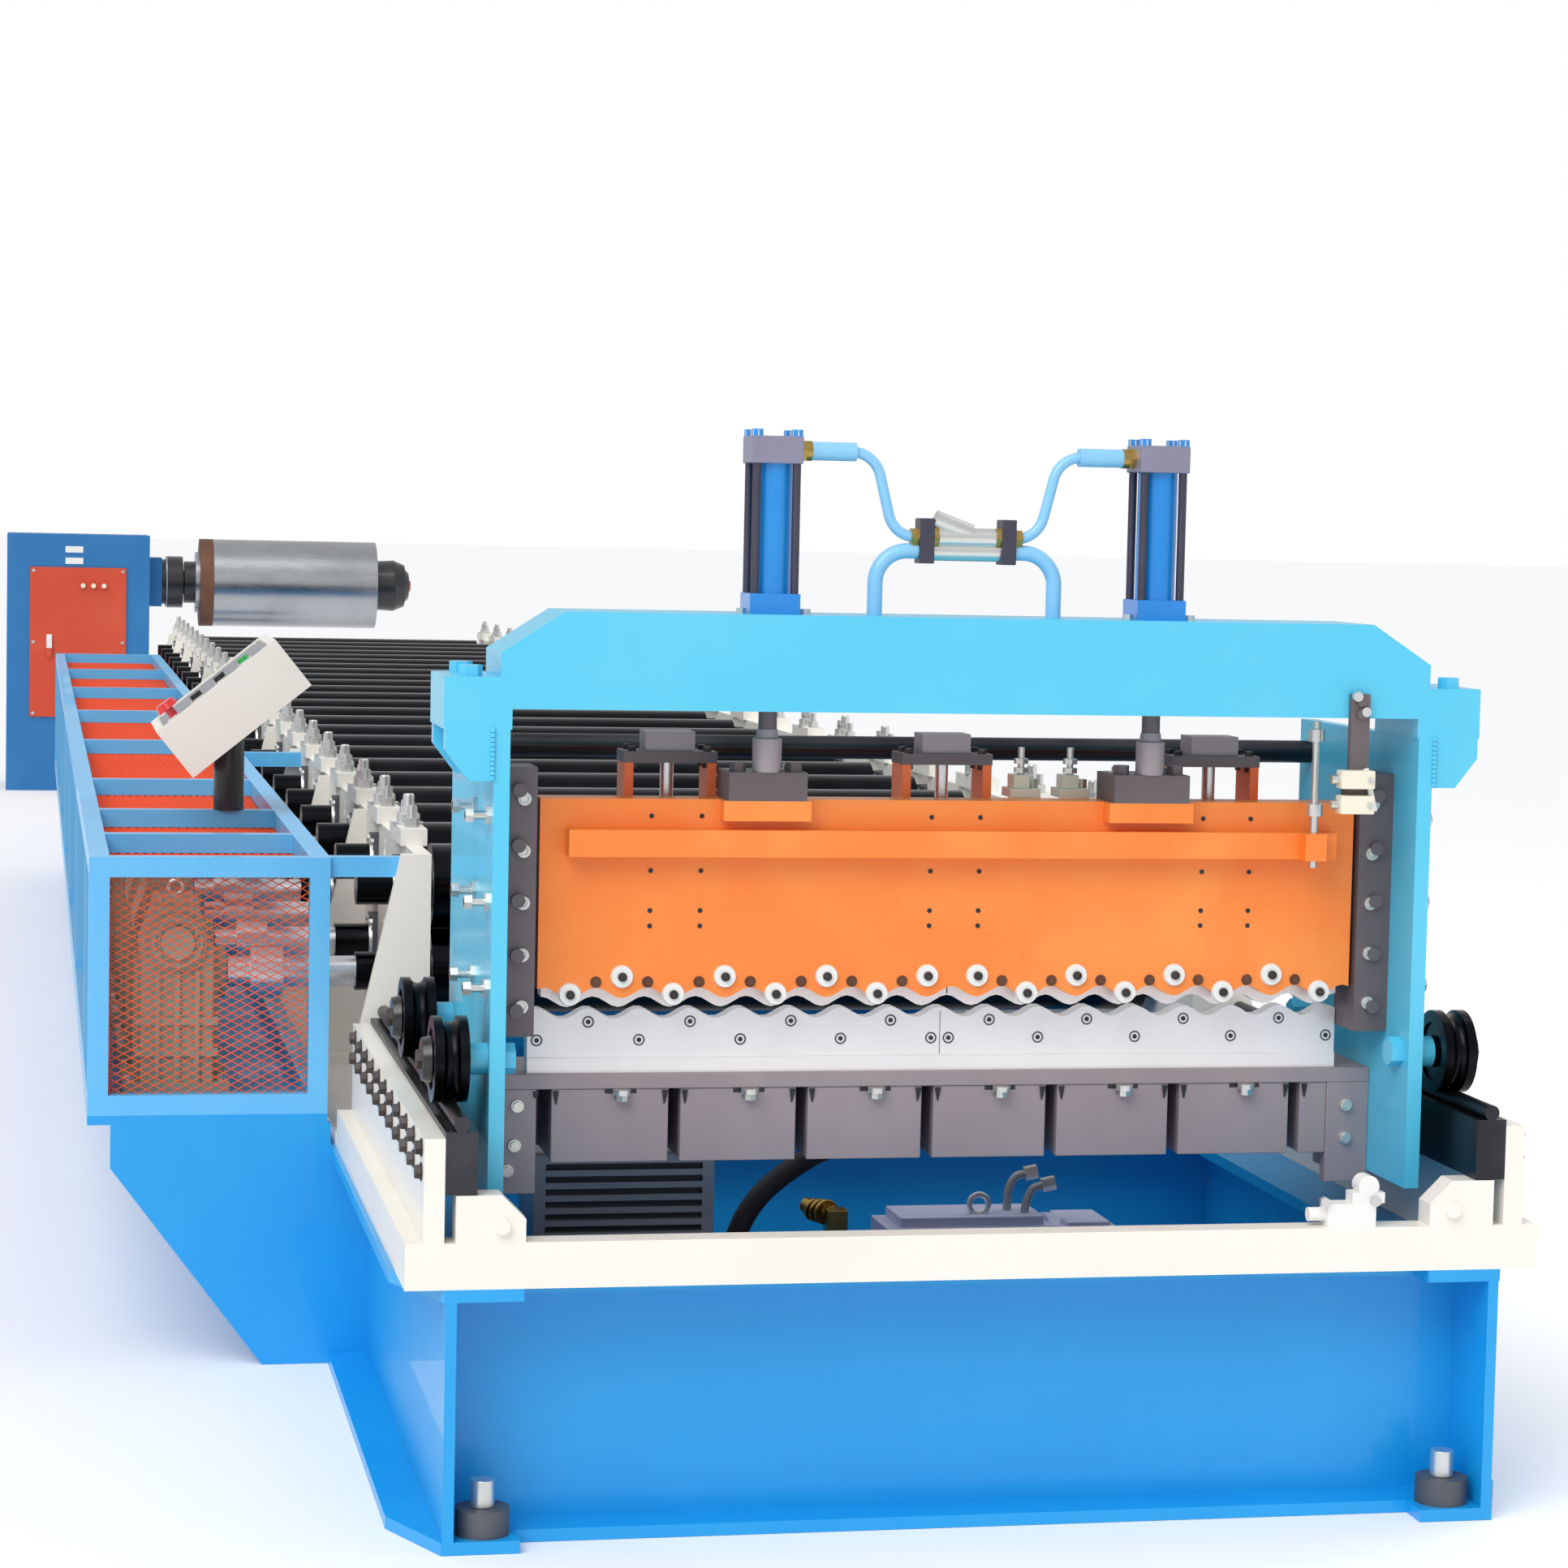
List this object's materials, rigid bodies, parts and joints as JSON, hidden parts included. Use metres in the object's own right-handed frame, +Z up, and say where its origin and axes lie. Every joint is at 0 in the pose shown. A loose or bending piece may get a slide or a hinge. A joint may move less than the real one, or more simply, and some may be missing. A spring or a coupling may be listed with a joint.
{
  "type": "roll forming machine",
  "caption": "Roll forming line for wavy roofing sheet: long roller bed, guarded gear drive, wheeled hydraulic cut-off press and coil holder.",
  "frame": {"origin": "on the floor, in the middle of the underside of the front cross beam, on the machine's centre line", "axes": "+X across the machine to the right seen from the exit end, +Y along the machine from the exit end to the coil, +Z up"},
  "size_m": [2.04, 12.988, 1.4],
  "materials": {
    "blue_paint": "sky blue paint",
    "light_blue_paint": "light sky blue paint",
    "cream_paint": "cream paint",
    "orange_paint": "orange paint",
    "red_mesh": "red paint on expanded mesh",
    "tank_paint": "dark blue paint",
    "motor_paint": "pale lavender grey paint",
    "cabinet_paint": "medium blue paint",
    "red_paint": "red paint",
    "black_steel": "dark oiled steel",
    "dark_steel": "unpainted mill steel",
    "bright_steel": "bright ground steel",
    "drum_steel": "polished steel",
    "spindle_steel": "dark steel",
    "bearing_iron": "grey iron",
    "gearbox_iron": "grey green cast housing",
    "cooler_grey": "grey louvred sheet",
    "post_black": "black paint",
    "button_plastic": "coloured push buttons",
    "pipe_paint": "pale blue pipe paint",
    "white_plastic": "white moulded switch"
  },
  "bodies": {
    "frame": {"base_beam_left": "blue_paint", "base_beam_right": "blue_paint", "base_cross_beams": "blue_paint", "drive_arms": "blue_paint", "guard_frame": "light_blue_paint", "front_rail": "cream_paint", "track_side_left": "cream_paint", "track_side_right": "cream_paint", "side_wall_left": "cream_paint", "side_wall_right": "cream_paint", "panel_box": "cream_paint", "guard_mesh": "red_mesh", "oil_tank": "tank_paint", "pump_motor": "motor_paint", "coil_cabinet": "cabinet_paint", "cabinet_panel": "red_paint", "track_rail_left": "black_steel", "track_rail_right": "black_steel", "top_rollers": "black_steel", "bottom_rollers": "black_steel", "adjusting_screws": "bright_steel", "levelling_feet": "bright_steel", "drive_shafts": "bright_steel", "coil_spindle": "spindle_steel", "bearing_blocks": "bearing_iron", "gearbox_row": "gearbox_iron", "oil_cooler": "cooler_grey", "panel_post": "post_black", "panel_buttons": "button_plastic", "travel_switch": "white_plastic"},
    "press": {"column_left": "light_blue_paint", "column_right": "light_blue_paint", "top_beam": "light_blue_paint", "cylinder_left": "light_blue_paint", "cylinder_right": "light_blue_paint", "oil_tee": "bright_steel", "oil_pipes": "pipe_paint", "ram_guides": "dark_steel", "lower_beam": "dark_steel", "lower_blade": "bright_steel", "switch_strip": "light_blue_paint", "tie_bar": "black_steel"},
    "ram": {"ram_plate": "orange_paint", "upper_blade": "bright_steel", "sheet_presses": "orange_paint", "rod_couplers": "dark_steel", "stroke_rod": "bright_steel"},
    "coil_drum": {"coil_drum": "drum_steel"},
    "wheel_front_left": {"wheel_front_left": "black_steel"},
    "wheel_front_right": {"wheel_front_right": "black_steel"},
    "wheel_rear_left": {"wheel_rear_left": "black_steel"},
    "wheel_rear_right": {"wheel_rear_right": "black_steel"}
  },
  "joints": [
    {"name": "press_travel", "type": "slide", "parent": "frame", "child": "press", "axis": [0, 1, 0], "range_m": [-0.06, 0.4]},
    {"name": "wheel_front_left_turn", "type": "hinge", "parent": "press", "child": "wheel_front_left", "pos_m": [-0.67, 0.064, 0.5944], "axis": [-1, 0, 0], "range_deg": [-80, 495]},
    {"name": "wheel_front_right_turn", "type": "hinge", "parent": "press", "child": "wheel_front_right", "pos_m": [0.67, 0.064, 0.5944], "axis": [-1, 0, 0], "range_deg": [-80, 495]},
    {"name": "wheel_rear_left_turn", "type": "hinge", "parent": "press", "child": "wheel_rear_left", "pos_m": [-0.67, 0.456, 0.5944], "axis": [-1, 0, 0], "range_deg": [-80, 495]},
    {"name": "wheel_rear_right_turn", "type": "hinge", "parent": "press", "child": "wheel_rear_right", "pos_m": [0.67, 0.456, 0.5944], "axis": [-1, 0, 0], "range_deg": [-80, 495]},
    {"name": "ram_stroke", "type": "slide", "parent": "press", "child": "ram", "axis": [0, 0, -1], "range_m": [0, 0.03]},
    {"name": "coil_turn", "type": "hinge", "parent": "frame", "child": "coil_drum", "pos_m": [0, 12.6, 0.938], "axis": [1, 0, 0], "continuous": true}
  ],
  "couplings": [
    {"joint": "wheel_front_left_turn", "follows": "press_travel", "rad_per_m": 21.277},
    {"joint": "wheel_front_right_turn", "follows": "press_travel", "rad_per_m": 21.277},
    {"joint": "wheel_rear_left_turn", "follows": "press_travel", "rad_per_m": 21.277},
    {"joint": "wheel_rear_right_turn", "follows": "press_travel", "rad_per_m": 21.277}
  ]
}
